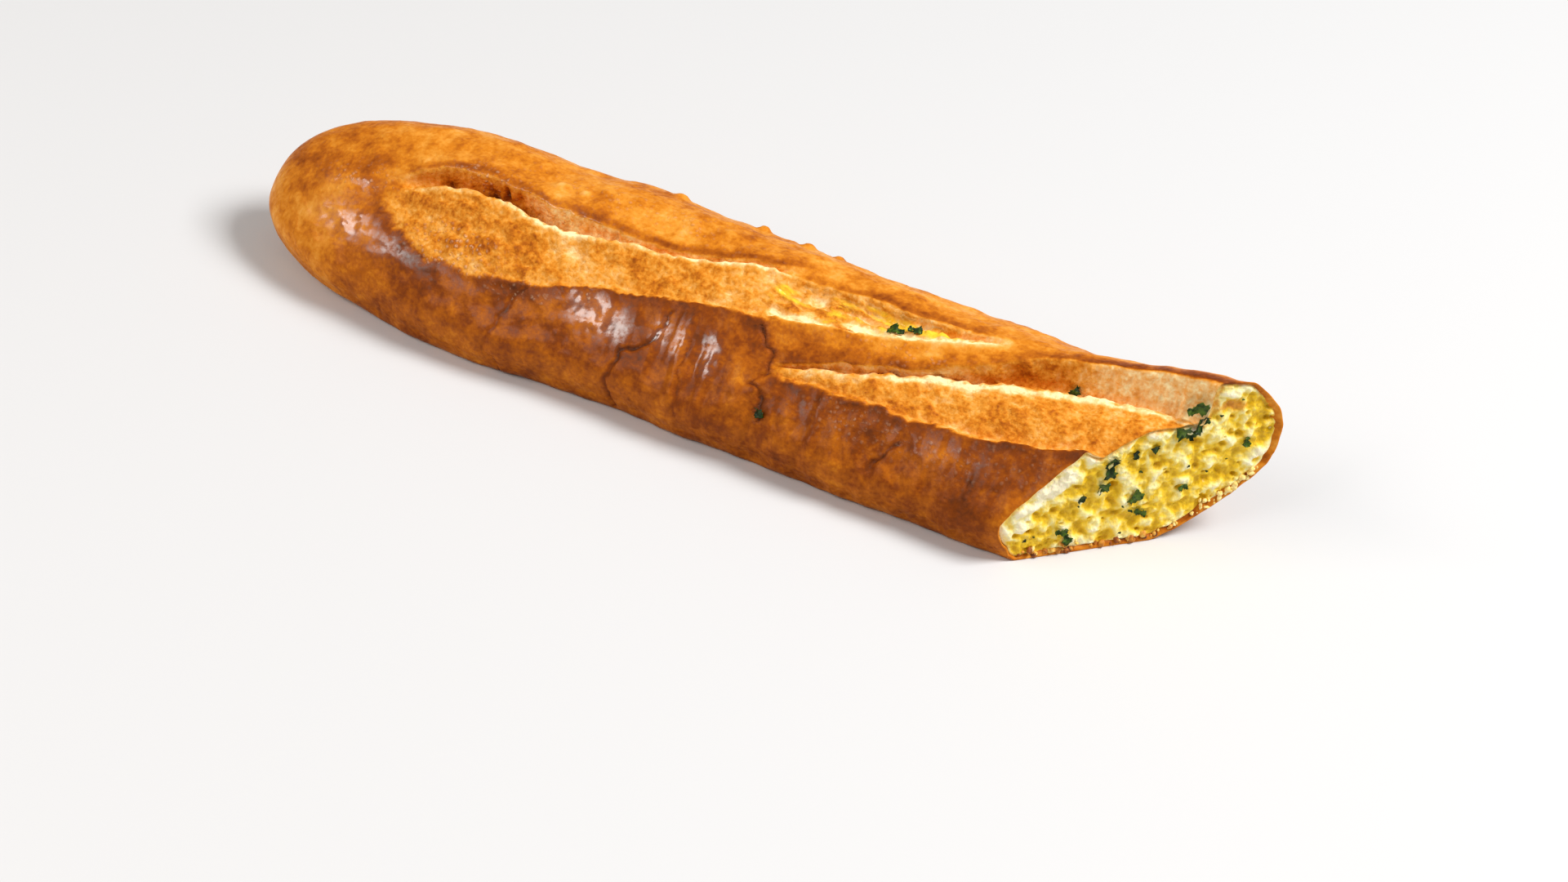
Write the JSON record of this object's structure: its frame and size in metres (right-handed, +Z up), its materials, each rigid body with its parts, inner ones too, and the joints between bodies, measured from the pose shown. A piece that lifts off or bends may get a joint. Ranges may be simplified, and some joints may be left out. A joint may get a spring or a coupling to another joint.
{
  "type": "garlic bread baguette half",
  "caption": "Half a garlic baguette with a rounded end, diagonal slashes and a bias cut showing butter-soaked crumb and parsley.",
  "frame": {"origin": "middle of the loaf's box, on the surface that it rests on", "axes": "+X along the loaf towards the cut end, +Y towards the back, away from the leaning flank, +Z up"},
  "size_m": [0.3388, 0.072, 0.0557],
  "materials": {
    "crust": "baked amber-brown bread crust with a buttery gloss, paler where the slashes opened",
    "crumb": "soft torn white crumb soaked yellow with garlic butter",
    "parsley": "chopped parsley, dark green and slightly oily"
  },
  "bodies": {
    "root": {"loaf": "crust"}
  },
  "joints": []
}
